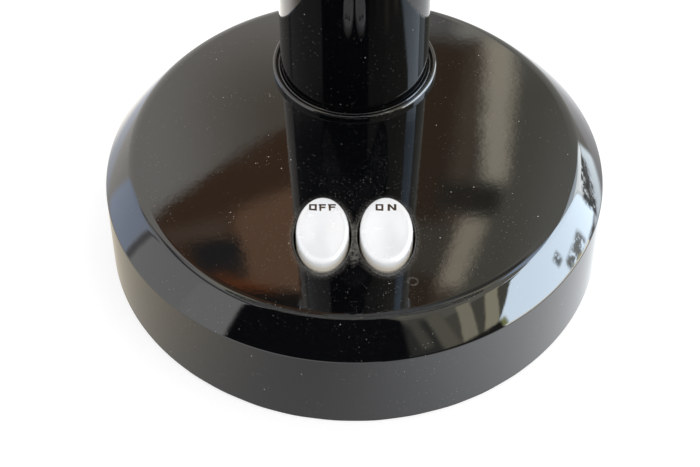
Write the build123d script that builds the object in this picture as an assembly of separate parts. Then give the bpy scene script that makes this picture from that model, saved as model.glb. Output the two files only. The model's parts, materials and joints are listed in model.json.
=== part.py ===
from build123d import *
from math import atan2, cos, degrees, pi, radians, sin, sqrt, tan
import os

# Desk lamp with a round weighted base, two push buttons, a stout column and a two-link swing arm.
# Millimetres. +Z is up, -Y is the front, and the origin is the middle of the base's underside.

# Clearances
running_fit = 0.05
running_gap = 0.15
seat_gap = 0.2

# How far a cut runs past the face that it opens, and how closely a found edge matches its size
past = 1.0
same = 0.01

# Base
base_radius = 100.0
wall_height = 36.5
plate_radius = 88.8
plate_height = 49.0
dome_rise = 2.5
shell_wall = 2.5
shoulder_round = 1.6
plate_round = 6.0
felt_thickness = 1.5
felt_inset = 0.6
felt_hole_margin = 1.0
bottom_thickness = 2.0

# Weight and the screws that close the base
weight_bore = 42.0
weight_clearance = 5.5
weight_radius = base_radius - shell_wall - weight_clearance
weight_thickness = 16.0
weight_notch = 10.0
weight_chamfer = 1.5
pillar_radius = 5.0
pillar_rim = 12.0
pillar_circle = weight_radius - pillar_rim
pillar_angles = (30.0, 150.0, 270.0)
base_screw_radius = 2.5
base_screw_grip = 9.0
base_screw_head = 4.6

# Push buttons
button_width = 20.2
button_length = 33.8
button_pitch = 24.3
button_row_y = -49.6
button_stand = 4.5
button_travel = 3.0
button_draft = 0.4
button_round = 0.7
button_skirt = 11.2
button_wall = 1.8
button_ceiling = 2.4
button_gap = 0.9
hole_lip = 0.7
dish_length = 27.0
dish_width = 16.0
dish_depth = 1.8
dish_shift = 2.4
stem_radius = 3.0
stem_tip_gap = 0.4

# Switch
switch_wall = 2.5
switch_deck = 3.0
switch_depth = 17.0
switch_half_length = 28.0
switch_half_width = 18.0
switch_ear = 12.0
switch_ear_width = 12.0
switch_ear_thickness = 4.0
switch_post_radius = 4.0
switch_screw_radius = 1.5
switch_screw_grip = 5.0
board_thickness = 2.0
leaf_thickness = 0.6
leaf_width = 6.0
leaf_reach = 8.0
leaf_spacing = 2.4
leaf_tail = 1.8
clip_radius = 5.0
clip_thickness = 0.8
spring_turns = 6.0
spring_radius = 4.3
spring_wire = 0.4

# Choke
choke_length = 56.0
choke_depth = 30.0
choke_height = 34.0
choke_leg = 16.0
choke_window = 8.0
choke_yoke = 6.0
coil_overhang = 6.0
strap_thickness = 1.2
strap_width = 14.0
strap_foot = 9.0
choke_screw_radius = 1.7
choke_screw_head = 3.2
choke_screw_height = 1.8

# Terminal block
block_width = 14.0
block_length = 30.0
block_height = 12.0
block_x = 60.0
block_y = -4.0
block_pitch = 9.0
block_bore = 2.0
block_screw_radius = 1.8
block_screw_sink = 1.5

# Cord inlet
inlet_height = 11.5
inlet_hole = 5.0
inlet_flange = 7.5
inlet_bore = 3.6
inlet_stand = 2.2
inlet_inside = 3.5

# Column
column_radius = 30.5
column_wall = 1.6
column_y = 46.0
column_top = 240.0
foot_ring_radius = 34.0
foot_bead = 1.15
foot_fillet_bead = 0.55
foot_stand = 1.6
saddle_radius = 34.0
saddle_thickness = 4.0
pipe_radius = 5.0
pipe_bore = 3.8
pipe_nut_width = 17.0
pipe_nut_height = 6.0
pipe_tail = 3.0

# Column head
trim_radius = 32.0
trim_height = 2.5
cap_radius = 31.0
cap_rim = 4.0
cap_rise = 8.0
cap_top_radius = 15.5
cap_bulge_out = 0.66
cap_bulge_drop = 0.3
spigot_depth = 8.0
spigot_wall = 3.0
bush_radius = 11.0
bush_depth = 52.0
bush_floor = 10.0
bush_flange = 14.0
bush_flange_height = 3.0
thrust_thickness = 1.0

# Swing arms
post_radius = 8.0
tube_wall = 1.5
upper_tube_radius = 7.0
bend_radius = 32.0
lower_arm_z = 412.0
lower_arm_length = 125.0
upper_arm_length = 125.0
arm_spread = 48.7
knuckle_radius = 12.0
knuckle_height = 20.0
knuckle_round = 1.5
pivot_radius = 5.0
washer_radius = 11.0
washer_thickness = 1.0
nut_radius = 8.5
nut_height = 10.0
nut_socket = 6.0
nut_crown_radius = 6.8
bolt_head_radius = 9.0
bolt_head_height = 4.0
bolt_head_round = 3.2
collar_radius = 13.0
collar_height = 9.0
collar_screw_radius = 1.5

# Yoke and tilt pivot
yoke_plate = 5.0
yoke_width = 22.0
yoke_drop = 16.0
ear_thickness = 4.5
ear_radius = 9.0
lug_thickness = 10.0
lug_radius = 8.0
lug_rise = 15.0
tilt_pin_radius = 3.0
knob_radius = 9.5
knob_length = 11.0
knob_round = 1.5
knob_flutes = 18
knob_flute_radius = 0.8

# Hood
hood_end_room = 41.0
hood_width = 108.0
hood_skirt = 12.0
hood_dome = 38.0
hood_wall = 0.9
rim_bead = 1.6
reflector_gap = 2.6
reflector_wall = 0.6
saddle_bar_length = 44.0
saddle_bar_width = 24.0
saddle_bar_height = 2.6
hood_screw_x = 16.0
hood_screw_radius = 2.0
hood_screw_head = 4.0
hood_screw_head_height = 1.8
hood_screw_head_round = 1.0
spacer_radius = 4.0

# Fluorescent tube and its holders
tube_radius = 12.75
tube_length = 330.0
tube_centre = 24.0
glass_wall = 0.8
cap_length = 9.0
cap_skin = 0.25
pin_radius = 1.2
pin_length = 7.0
pin_pitch = 12.7
holder_thickness = 12.0
holder_width = 24.0
holder_below = 14.0
holder_round = 4.0

# Heights that follow
bottom_z = felt_thickness
floor_z = bottom_z + bottom_thickness
weight_top = floor_z + weight_thickness
chamfer_slope = atan2(plate_height - wall_height, base_radius - plate_radius)
trim_z = column_top
cap_z = trim_z + trim_height
cap_top = cap_z + cap_rim + cap_rise
bush_top = cap_top + bush_flange_height
bush_bottom = cap_top - bush_depth
post_foot = bush_bottom + bush_floor + thrust_thickness
lower_knuckle_z = lower_arm_z - knuckle_height / 2
upper_knuckle_z = lower_knuckle_z - washer_thickness - knuckle_height - running_gap
upper_arm_z = upper_knuckle_z + knuckle_height / 2
yoke_top = upper_knuckle_z - washer_thickness - running_gap
yoke_bottom = yoke_top - yoke_plate
tilt_z = yoke_bottom - yoke_drop
hood_top = tilt_z - lug_rise
hood_z = hood_top - hood_skirt - hood_dome
tube_z = hood_z + tube_centre
hood_length = tube_length + 2 * hood_end_room
hood_straight = (hood_length - hood_width) / 2

# The arms' places in plan: the elbow stands to the left, and the head is straight ahead of the column
elbow_x = -lower_arm_length * sin(radians(arm_spread))
elbow_y = column_y - lower_arm_length * cos(radians(arm_spread))
upper_run = sqrt(upper_arm_length**2 - elbow_x**2)
head_y = elbow_y - upper_run
upper_heading = degrees(atan2(-upper_run, -elbow_x))
lower_heading = degrees(atan2(elbow_y - column_y, elbow_x))


def rod(radius, low, high, x=0.0, y=0.0):
    """An upright cylinder between two heights."""
    return Pos(x, y, (low + high) / 2) * Cylinder(radius, high - low)


def ring(outer, inner, low, high, x=0.0, y=0.0):
    """An upright tube between two heights."""
    return rod(outer, low, high, x, y) - rod(inner, low - past, high + past, x, y)


def block(x0, x1, y0, y1, z0, z1):
    """A box between two corners."""
    return Pos((x0 + x1) / 2, (y0 + y1) / 2, (z0 + z1) / 2) * Box(x1 - x0, y1 - y0, z1 - z0)


def bar(radius, start, end, y, z):
    """A cylinder along X."""
    return Pos((start + end) / 2, y, z) * Rot(0, 90, 0) * Cylinder(radius, end - start)


def oval(width, length, low, high, x, y):
    """An upright elliptical prism."""
    return extrude(Pos(x, y, low) * Ellipse(width / 2, length / 2), high - low)


def solids(*shapes):
    """Loose solids that share one node."""
    return Compound(children=list(shapes))


def dome_height(radius, inset=0.0):
    """Height of the base's top plate, or of its underside when inset, at a distance from the middle."""
    edge = plate_radius - inset * tan(chamfer_slope / 2)
    sphere = (edge**2 + dome_rise**2) / (2 * dome_rise)
    return plate_height - inset + dome_rise - sphere + sqrt(sphere**2 - radius**2)


def base_form(inset, low):
    """The base as a full solid, or the space inside its wall when inset."""
    radius = base_radius - inset
    shoulder = wall_height - inset * tan((pi / 2 - chamfer_slope) / 2)
    edge = plate_radius - inset * tan(chamfer_slope / 2)
    edge_z = plate_height - inset
    top = dome_height(0, inset)
    with BuildSketch(Plane.XZ) as section:
        with BuildLine():
            Polyline((0, top), (0, low), (radius, low), (radius, shoulder), (edge, edge_z))
            ThreePointArc((edge, edge_z), (edge / 2, dome_height(edge / 2, inset)), (0, top))
        make_face()
        fillet(section.vertices().sort_by_distance((radius, shoulder))[0], shoulder_round)
        fillet(section.vertices().sort_by_distance((edge, edge_z))[0], plate_round)
    return revolve(section.sketch, Axis.Z, 360)


def button_x(side):
    return side * button_pitch / 2


button_plate_z = dome_height(sqrt(button_row_y**2 + button_x(1) ** 2))
button_top = button_plate_z + button_stand
button_foot = button_top - button_skirt
deck_top = button_foot - button_travel - seat_gap
deck_bottom = deck_top - switch_deck
switch_bottom = deck_top - switch_depth
board_top = switch_bottom + board_thickness
leaf_z = board_top + leaf_spacing + leaf_thickness + leaf_spacing
stem_tip = leaf_z + leaf_thickness + stem_tip_gap + button_travel
ceiling_z = button_top - dish_depth - button_ceiling


def base_shell():
    shell = base_form(0, bottom_z) - base_form(shell_wall, bottom_z - past)
    for side in (-1, 1):
        x = button_x(side)
        width = button_width + 2 * button_gap
        length = button_length + 2 * button_gap
        shell -= oval(width, length, wall_height, button_top, x, button_row_y)
        flare = loft(
            [
                Pos(x, button_row_y, button_plate_z - hole_lip) * Ellipse(width / 2, length / 2),
                Pos(x, button_row_y, button_plate_z + hole_lip)
                * Ellipse(width / 2 + 2 * hole_lip, length / 2 + 2 * hole_lip),
            ]
        )
        shell -= flare
    shell -= rod(pipe_radius + running_fit, wall_height, button_top, 0, column_y)
    shell -= Pos(0, base_radius, inlet_height) * Rot(90, 0, 0) * Cylinder(inlet_hole, 4 * shell_wall)
    return shell


def felt_pad():
    pad = rod(base_radius - felt_inset, 0, felt_thickness)
    for x, y in pillar_places():
        pad -= rod(base_screw_head + felt_hole_margin, -past, felt_thickness + past, x, y)
    return pad


def pillar_places():
    return [
        (pillar_circle * cos(radians(a)), pillar_circle * sin(radians(a))) for a in pillar_angles
    ]


def bottom_plate():
    plate = rod(base_radius - shell_wall - seat_gap, bottom_z, floor_z)
    for x, y in pillar_places():
        plate -= screw_cone(x, y)
    for side in (-1, 1):
        plate -= rod(choke_screw_radius, bottom_z - past, floor_z + past, side * choke_screw_x(), 0)
    return plate


def screw_cone(x, y):
    """A countersunk head, flush with the underside of the bottom plate."""
    middle = bottom_z + bottom_thickness / 2
    return Pos(x, y, middle) * Cone(base_screw_head, base_screw_radius, bottom_thickness)


def base_weight():
    weight = ring(weight_radius, weight_bore, floor_z, weight_top)
    weight -= block(-weight_notch / 2, weight_notch / 2, 0, base_radius, floor_z - past, weight_top + past)
    for x, y in pillar_places():
        weight -= rod(base_screw_radius + seat_gap, floor_z - past, weight_top + past, x, y)
    edges = weight.edges().filter_by(GeomType.CIRCLE)
    outer = [e for e in edges if e.radius > weight_radius - same and e.center().Z > weight_top - same]
    return chamfer(outer, weight_chamfer)


def base_pillars():
    inside = base_form(shell_wall, bottom_z)
    pillars = []
    for x, y in pillar_places():
        pillar = rod(pillar_radius, weight_top, plate_height, x, y) & inside
        thread = rod(base_screw_radius, weight_top - past, weight_top + base_screw_grip + past, x, y)
        pillars.append(pillar - thread)
    return solids(*pillars)


def base_screws():
    screws = []
    for x, y in pillar_places():
        screws.append(screw_cone(x, y) + rod(base_screw_radius, floor_z, weight_top + base_screw_grip, x, y))
    return solids(*screws)


def button_cap(side):
    """An oval cap with a dished top, hollow underneath, on a round stem."""
    x = button_x(side)
    body = loft(
        [
            Pos(x, button_row_y, button_foot)
            * Ellipse(button_width / 2 + button_draft / 2, button_length / 2 + button_draft / 2),
            Pos(x, button_row_y, button_top)
            * Ellipse(button_width / 2 - button_draft / 2, button_length / 2 - button_draft / 2),
        ]
    )
    body = fillet(body.edges().group_by(Axis.Z)[-1], button_round)
    along = (dish_length**2 / 4 + dish_depth**2) / (2 * dish_depth)
    across = (dish_width**2 / 4 + dish_depth**2) / (2 * dish_depth)
    dish = Pos(x, button_row_y - dish_shift, button_top - dish_depth + along) * Rot(0, 90, 0) * Torus(
        along - across, across
    )
    body -= dish
    inner_width = button_width - 2 * button_wall
    inner_length = button_length - 2 * button_wall
    body -= oval(inner_width, inner_length, button_foot - past, ceiling_z, x, button_row_y)
    return body + rod(stem_radius, stem_tip, ceiling_z + past, x, button_row_y)


def button_clip(side):
    """A push-on washer that stops the stem under the switch deck."""
    clip_top = deck_bottom - seat_gap
    return ring(clip_radius, stem_radius, clip_top - clip_thickness, clip_top, button_x(side), button_row_y)


def button_spring(side):
    """A coil of round wire between the switch deck and the inside of the cap."""
    low = deck_top + spring_wire + running_fit
    height = ceiling_z - spring_wire - running_fit - low
    pitch = height / spring_turns
    print("spring coil gap", round(pitch - 2 * spring_wire, 2), "mm")
    path = Helix(pitch, height, spring_radius)
    wire = sweep(Plane(origin=path @ 0, z_dir=path % 0) * Circle(spring_wire), path)
    return Pos(button_x(side), button_row_y, low) * wire


def switch_housing():
    """A moulded box with a cell for each button, open below, hung from two ears."""
    y0 = button_row_y - switch_half_width
    y1 = button_row_y + switch_half_width
    housing = block(-switch_half_length, switch_half_length, y0, y1, switch_bottom, deck_top)
    for side in (-1, 1):
        post_x = side * switch_post_x()
        near = switch_wall / 2
        far = switch_half_length - switch_wall
        cell = sorted((side * near, side * far))
        housing -= block(*cell, y0 + switch_wall, y1 - switch_wall, board_top, deck_bottom)
        stem_x = button_x(side)
        housing -= rod(stem_radius + running_fit, deck_bottom - past, deck_top + past, stem_x, button_row_y)
        ear = sorted((side * switch_half_length, side * (switch_half_length + switch_ear)))
        half = switch_ear_width / 2
        ear_low = deck_top - switch_ear_thickness
        housing += block(*ear, button_row_y - half, button_row_y + half, ear_low, deck_top)
        hole = rod(switch_screw_radius + seat_gap, ear_low - past, deck_top + past, post_x, button_row_y)
        housing -= hole
    inside = switch_half_length - switch_wall
    housing -= block(-inside, inside, y0 + switch_wall, y1 - switch_wall, switch_bottom - past, board_top)
    return housing


def switch_post_x():
    return switch_half_length + switch_ear / 2


def switch_posts():
    inside = base_form(shell_wall, bottom_z)
    posts = []
    for side in (-1, 1):
        x = side * switch_post_x()
        post = rod(switch_post_radius, deck_top, plate_height + dome_rise, x, button_row_y) & inside
        thread = rod(switch_screw_radius, deck_top - past, deck_top + switch_screw_grip, x, button_row_y)
        posts.append(post - thread)
    return solids(*posts)


def switch_screws():
    seat = deck_top - switch_ear_thickness
    screws = []
    for side in (-1, 1):
        x = side * switch_post_x()
        head = rod(2 * switch_screw_radius, seat - switch_screw_radius, seat, x, button_row_y)
        screws.append(head + rod(switch_screw_radius, seat, deck_top + switch_screw_grip, x, button_row_y))
    return solids(*screws)


def leaf_solid(side, end, z):
    """A contact strip with a tail that goes down through the board at one end."""
    x = button_x(side)
    y0 = button_row_y - leaf_width / 2
    y1 = button_row_y + leaf_width / 2
    strip = block(x - leaf_reach, x + leaf_reach, y0, y1, z, z + leaf_thickness)
    tail_x = sorted((x + end * leaf_reach, x + end * (leaf_reach - leaf_thickness)))
    tail = block(*tail_x, y0, y1, switch_bottom - leaf_tail, z)
    return strip + tail


def contact_leaves():
    leaves = []
    for side in (-1, 1):
        leaves.append(leaf_solid(side, -1, leaf_z))
        leaves.append(leaf_solid(side, 1, board_top + leaf_spacing))
    return solids(*leaves)


def contact_board():
    reach = switch_half_length - switch_wall - running_fit
    half = switch_half_width - switch_wall - running_fit
    board = block(-reach, reach, button_row_y - half, button_row_y + half, switch_bottom, board_top)
    y0 = button_row_y - leaf_width / 2 - running_fit
    y1 = button_row_y + leaf_width / 2 + running_fit
    grip = leaf_thickness / 2 + running_fit
    for side in (-1, 1):
        for end in (-1, 1):
            x = button_x(side) + end * (leaf_reach - leaf_thickness / 2)
            board -= block(x - grip, x + grip, y0, y1, switch_bottom - past, board_top + past)
    return board


def choke_core():
    """Stacked steel sheets with two windows for the coil."""
    reach = choke_length / 2
    half = choke_depth / 2
    core = block(-reach, reach, -half, half, floor_z, choke_top())
    for side in (-1, 1):
        window = sorted((side * choke_leg / 2, side * (choke_leg / 2 + choke_window)))
        core -= block(*window, -choke_depth, choke_depth, floor_z + choke_yoke, choke_top() - choke_yoke)
    return core


def choke_top():
    return floor_z + choke_height


def choke_winding():
    """The wrapped coil round the middle leg, standing out at the front and back of the core."""
    outer = choke_leg / 2 + choke_window - seat_gap
    inner = choke_leg / 2 + seat_gap
    low = floor_z + choke_yoke + seat_gap
    high = choke_top() - choke_yoke - seat_gap
    depth = choke_depth / 2
    coil = block(-outer, outer, -depth - coil_overhang, depth + coil_overhang, low, high)
    coil = fillet(coil.edges().filter_by(Axis.Z), coil_overhang / 2)
    return coil - block(-inner, inner, -depth - seat_gap, depth + seat_gap, low - past, high + past)


def choke_screw_x():
    return choke_length / 2 + strap_thickness + strap_foot / 2


def choke_strap():
    """A bent steel band over the core, with a foot on each side."""
    half = strap_width / 2
    reach = choke_length / 2
    outside = reach + strap_thickness
    strap = block(-outside, outside, -half, half, floor_z, choke_top() + strap_thickness)
    strap -= block(-reach, reach, -half - past, half + past, floor_z - past, choke_top())
    for side in (-1, 1):
        foot = sorted((side * outside, side * (outside + strap_foot)))
        strap += block(*foot, -half, half, floor_z, floor_z + strap_thickness)
        hole_x = side * choke_screw_x()
        strap -= rod(choke_screw_radius, floor_z - past, floor_z + strap_thickness + past, hole_x, 0)
    return strap


def choke_screws():
    seat = floor_z + strap_thickness
    screws = []
    for side in (-1, 1):
        x = side * choke_screw_x()
        shank = rod(choke_screw_radius, bottom_z, seat, x, 0)
        screws.append(shank + rod(choke_screw_head, seat, seat + choke_screw_height, x, 0))
    return solids(*screws)


def terminal_places():
    return [block_y + step * block_pitch for step in (-1, 0, 1)]


def terminal_block():
    x0 = block_x - block_width / 2
    x1 = block_x + block_width / 2
    y0 = block_y - block_length / 2
    wire_z = weight_top + block_height / 3
    top = weight_top + block_height
    body = block(x0, x1, y0, y0 + block_length, weight_top, top)
    for y in terminal_places():
        body -= bar(block_bore, x0 - past, x1 + past, y, wire_z)
        body -= rod(block_screw_radius, wire_z, top + past, block_x, y)
    return body


def terminal_screws():
    low = weight_top + block_height / 3 + block_bore
    high = weight_top + block_height - block_screw_sink
    return solids(*[rod(block_screw_radius, low, high, block_x, y) for y in terminal_places()])


def cord_grommet(shell):
    """A rubber bush that holds both faces of the wall at the cord inlet."""
    front = base_radius - shell_wall - inlet_inside
    back = base_radius + inlet_stand
    rod_y = Pos(0, (front + back) / 2, inlet_height) * Rot(90, 0, 0)
    body = rod_y * Cylinder(inlet_flange, back - front) - shell
    return body - rod_y * Cylinder(inlet_bore, back - front + 2 * past)


def column_tube():
    tube = ring(column_radius, column_radius - column_wall, wall_height, column_top, 0, column_y)
    return tube - base_form(0, bottom_z)


def foot_ring():
    """The bead round the foot of the column, with a finer bead and a groove inside it."""
    plate_z = dome_height(column_y)
    top = plate_z + foot_stand
    inner = column_radius + running_fit
    with BuildSketch(Plane.XZ) as section:
        with Locations(((inner + foot_ring_radius) / 2, (wall_height + top) / 2)):
            Rectangle(foot_ring_radius - inner, top - wall_height)
        with Locations((foot_ring_radius - foot_bead, top)):
            Circle(foot_bead)
        with Locations((inner + foot_fillet_bead, top)):
            Circle(foot_fillet_bead)
    turned = revolve(section.sketch, Axis.Z, 360)
    return Pos(0, column_y, 0) * turned - base_form(0, bottom_z)


def column_saddle():
    """A formed washer that clamps the column from under the top plate."""
    low = dome_height(column_y + saddle_radius, shell_wall) - saddle_thickness
    saddle = rod(saddle_radius, low, plate_height + dome_rise, 0, column_y) & base_form(shell_wall, bottom_z)
    return saddle - rod(pipe_radius + running_fit, low - past, plate_height + dome_rise, 0, column_y)


def saddle_bottom():
    return dome_height(column_y + saddle_radius, shell_wall) - saddle_thickness


def tie_pipe():
    """The threaded pipe that pulls the column together and carries the wires."""
    low = saddle_bottom() - pipe_nut_height - pipe_tail
    return ring(pipe_radius, pipe_bore, low, bush_bottom + bush_floor / 2, 0, column_y)


def tie_nut():
    high = saddle_bottom()
    hexagon = Pos(0, column_y, high - pipe_nut_height) * RegularPolygon(pipe_nut_width / sqrt(3), 6)
    nut = extrude(hexagon, pipe_nut_height)
    return nut - rod(pipe_radius, high - pipe_nut_height - past, high + past, 0, column_y)


def trim_ring():
    bore = column_radius - column_wall - seat_gap
    band = ring(trim_radius, bore, trim_z, cap_z, 0, column_y)
    rims = [e for e in band.edges().filter_by(GeomType.CIRCLE) if e.radius > trim_radius - same]
    return fillet(rims, trim_height / 3)


def column_cap():
    """A domed cap with a spigot that centres it in the column."""
    spigot = column_radius - column_wall - 2 * seat_gap
    with BuildSketch(Plane.XZ) as section:
        with BuildLine():
            Polyline(
                (bush_radius + running_fit, cap_top),
                (bush_radius + running_fit, cap_z),
                (spigot - spigot_wall, cap_z),
                (spigot - spigot_wall, cap_z - spigot_depth),
                (spigot, cap_z - spigot_depth),
                (spigot, cap_z),
                (cap_radius, cap_z),
                (cap_radius, cap_z + cap_rim),
            )
            bulge_radius = cap_top_radius + (cap_radius - cap_top_radius) * cap_bulge_out
            bulge = (bulge_radius, cap_top - cap_rise * cap_bulge_drop)
            ThreePointArc((cap_radius, cap_z + cap_rim), bulge, (cap_top_radius, cap_top))
            Line((cap_top_radius, cap_top), (bush_radius + running_fit, cap_top))
        make_face()
    return Pos(0, column_y, 0) * revolve(section.sketch, Axis.Z, 360)


def swivel_bush():
    """The bearing that the post turns in, screwed on to the tie pipe."""
    bush = rod(bush_radius, bush_bottom, cap_top, 0, column_y)
    bush += rod(bush_flange, cap_top, bush_top, 0, column_y)
    rims = [e for e in bush.edges().filter_by(GeomType.CIRCLE) if e.center().Z > bush_top - same]
    bush = fillet(rims, bush_flange_height / 3)
    bush -= rod(post_radius + running_fit, bush_bottom + bush_floor, bush_top + past, 0, column_y)
    bush -= rod(pipe_radius, bush_bottom - past, bush_bottom + bush_floor / 2, 0, column_y)
    return bush - rod(pipe_bore, bush_bottom, bush_bottom + bush_floor + past, 0, column_y)


def thrust_washer():
    low = bush_bottom + bush_floor
    return ring(post_radius - running_gap, pipe_bore, low, low + thrust_thickness - running_gap, 0, column_y)


def swing_tube():
    """The post and the lower arm, one tube bent over at the top."""
    run = lower_arm_length - knuckle_radius / 2
    heading = Rot(0, 0, lower_heading)
    place = Pos(0, column_y, 0)
    path = FilletPolyline((0, 0, post_foot), (0, 0, lower_arm_z), (run, 0, lower_arm_z), radius=bend_radius)
    outer = sweep(Plane.XY.offset(post_foot) * Circle(post_radius), path)
    inner = sweep(Plane.XY.offset(post_foot) * Circle(post_radius - tube_wall), path)
    tube = place * heading * (outer - inner)
    return tube - knuckle_blank(elbow_x, elbow_y, lower_knuckle_z)


def knuckle_blank(x, y, low):
    return rod(knuckle_radius, low, low + knuckle_height, x, y)


def knuckle(x, y, low, bore):
    """A turned pivot block with rounded rims."""
    blank = knuckle_blank(x, y, low)
    blank = fillet(blank.edges().filter_by(GeomType.CIRCLE), knuckle_round)
    return blank - rod(bore, low - past, low + knuckle_height + past, x, y)


def post_collar():
    """The chromed collar that rests the post on its bearing."""
    low = bush_top + running_gap
    collar = rod(collar_radius, low, low + collar_height, 0, column_y)
    collar = fillet(collar.edges().filter_by(GeomType.CIRCLE), knuckle_round)
    collar -= rod(post_radius, low - past, low + collar_height + past, 0, column_y)
    return collar - collar_screw_rod(collar_radius + past)


def collar_screw_rod(reach):
    middle = bush_top + running_gap + collar_height / 2
    length = reach - post_radius
    return Pos(0, column_y + post_radius + length / 2, middle) * Rot(90, 0, 0) * Cylinder(
        collar_screw_radius, length
    )


def collar_screw():
    return collar_screw_rod(collar_radius - past)


def elbow_bolt():
    """A round-headed bolt from below, fast in the lower arm and free in the upper one."""
    seat = upper_knuckle_z - running_gap
    head = rod(bolt_head_radius, seat - bolt_head_height, seat, elbow_x, elbow_y)
    head = fillet(head.edges().group_by(Axis.Z)[0], bolt_head_round)
    tip = lower_knuckle_z + knuckle_height + washer_thickness + nut_socket
    return head + rod(pivot_radius, seat, tip, elbow_x, elbow_y)


def pivot_washer(x, y, low):
    return ring(washer_radius, pivot_radius + running_fit, low, low + washer_thickness, x, y)


def cap_nut(x, y, low):
    """A domed hexagon nut, blind at the top."""
    hexagon = extrude(Pos(x, y, low) * RegularPolygon(nut_radius, 6), nut_height / 2)
    crown = rod(nut_crown_radius, low, low + nut_height, x, y)
    crown = fillet(crown.edges().group_by(Axis.Z)[-1], nut_height / 2)
    return hexagon + crown - rod(pivot_radius, low - past, low + nut_socket, x, y)


def upper_tube():
    """The straight tube between the elbow and the head."""
    run = upper_arm_length
    tube = bar(upper_tube_radius, 0, run, 0, upper_arm_z) - bar(
        upper_tube_radius - tube_wall, -past, run + past, 0, upper_arm_z
    )
    tube = Pos(elbow_x, elbow_y, 0) * Rot(0, 0, upper_heading) * tube
    tube -= knuckle_blank(elbow_x, elbow_y, upper_knuckle_z)
    return tube - knuckle_blank(0, head_y, upper_knuckle_z)


def head_spindle():
    """The swivel pin, pressed into the yoke."""
    tip = upper_knuckle_z + knuckle_height + running_gap + washer_thickness + nut_socket
    return rod(pivot_radius, yoke_bottom, tip, 0, head_y)


def ear_inner():
    return lug_thickness / 2 + running_gap


def yoke():
    """A fork whose two ears hold the hood's lug."""
    outer = ear_inner() + ear_thickness
    half = yoke_width / 2
    body = block(-outer, outer, head_y - half, head_y + half, yoke_bottom, yoke_top)
    body = fillet(body.edges().filter_by(Axis.Z), ear_thickness)
    for side in (-1, 1):
        ends = sorted((side * ear_inner(), side * outer))
        ear = bar(ear_radius, *ends, head_y, tilt_z)
        ear += block(*ends, head_y - ear_radius, head_y + ear_radius, tilt_z, yoke_bottom)
        body += ear
    body -= rod(pivot_radius, yoke_bottom - past, yoke_top + past, 0, head_y)
    pin_end = -ear_inner() - ear_thickness / 2
    return body - bar(tilt_pin_radius + running_fit, pin_end, outer + past, head_y, tilt_z)


def tilt_knob():
    """A fluted hand knob on the pin that the hood tilts on."""
    start = ear_inner() + ear_thickness + running_gap
    knob = bar(knob_radius, start, start + knob_length, head_y, tilt_z)
    knob = fillet(knob.edges().filter_by(GeomType.CIRCLE), knob_round)
    for step in range(knob_flutes):
        angle = 2 * pi * step / knob_flutes
        y = head_y + knob_radius * cos(angle)
        z = tilt_z + knob_radius * sin(angle)
        knob -= bar(knob_flute_radius, start - past, start + knob_length + past, y, z)
    pin_end = -ear_inner() - ear_thickness / 2 + running_gap
    return knob + bar(tilt_pin_radius, pin_end, start + past, head_y, tilt_z)


def hood_form(inset, low):
    """The long domed hood as a full solid, or the space inside it when inset."""
    half = hood_width / 2 - inset
    skirt = hood_z + hood_skirt
    dome = hood_dome - inset
    with BuildSketch(Plane.XZ) as section:
        with BuildLine():
            Polyline((0, skirt + dome), (0, low), (half, low), (half, skirt))
            EllipticalCenterArc((0, skirt), half, dome, 0, arc_size=90)
        make_face()
    turned = revolve(section.sketch, Axis.Z, 180)
    middle = Rot(0, 0, 90) * extrude(section.sketch, hood_straight, both=True)
    middle += Rot(0, 0, 180) * middle
    form = middle
    form += Pos(-hood_straight, 0, 0) * Rot(0, 0, 90) * turned
    form += Pos(hood_straight, 0, 0) * Rot(0, 0, -90) * turned
    return Pos(0, head_y, 0) * form


def rim_bead_form():
    """The rolled edge round the hood's mouth."""
    centre = hood_width / 2
    with BuildSketch(Plane.XZ) as section:
        with Locations((centre, hood_z + rim_bead)):
            Circle(rim_bead)
    turned = revolve(section.sketch, Axis.Z, 180)
    side = Rot(0, 0, 90) * extrude(section.sketch, hood_straight, both=True)
    bead = side + Rot(0, 0, 180) * side
    bead += Pos(-hood_straight, 0, 0) * Rot(0, 0, 90) * turned
    bead += Pos(hood_straight, 0, 0) * Rot(0, 0, -90) * turned
    return Pos(0, head_y, 0) * bead


def hood_shell():
    shell = hood_form(0, hood_z) + rim_bead_form() - hood_form(hood_wall, hood_z - past)
    return shell - hood_screw_rods(hood_screw_radius, hood_top - hood_dome, hood_top + past)


def hood_screw_rods(radius, low, high):
    left = rod(radius, low, high, -hood_screw_x, head_y)
    return left + rod(radius, low, high, hood_screw_x, head_y)


def reflector():
    """The white inner trough, a step inside the hood."""
    inset = hood_wall + reflector_gap
    low = hood_z + 2 * rim_bead
    shell = hood_form(inset, low) - hood_form(inset + reflector_wall, low - past)
    return shell - hood_screw_rods(hood_screw_radius, hood_top - hood_dome, hood_top)


def reflector_low():
    """Height of the reflector's underside at the crest."""
    return hood_top - hood_wall - reflector_gap - reflector_wall


def hood_spacers():
    low = reflector_low() + reflector_wall
    high = hood_top - hood_wall
    form = hood_form(hood_wall, hood_z)
    inner = hood_form(hood_wall + reflector_gap, hood_z)
    spacers = []
    for side in (-1, 1):
        spacer = ring(spacer_radius, hood_screw_radius, low - past, high, side * hood_screw_x, head_y)
        spacers.append(spacer & form - inner)
    return solids(*spacers)


def hood_screws():
    seat = reflector_low()
    tip = hood_top + saddle_bar_height
    inside = hood_form(hood_wall + reflector_gap + reflector_wall, hood_z)
    screws = []
    for side in (-1, 1):
        x = side * hood_screw_x
        head = rod(hood_screw_head, seat - hood_screw_head_height, seat, x, head_y)
        head = fillet(head.edges().group_by(Axis.Z)[0], hood_screw_head_round) & inside
        screws.append(head + rod(hood_screw_radius, seat - hood_screw_head_height / 2, tip, x, head_y))
    return solids(*screws)


def crest_fall(distance):
    """How far the hood's dome falls below its crest at a distance to the front or the back."""
    return hood_dome * (1 - sqrt(1 - (2 * distance / hood_width) ** 2))


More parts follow.
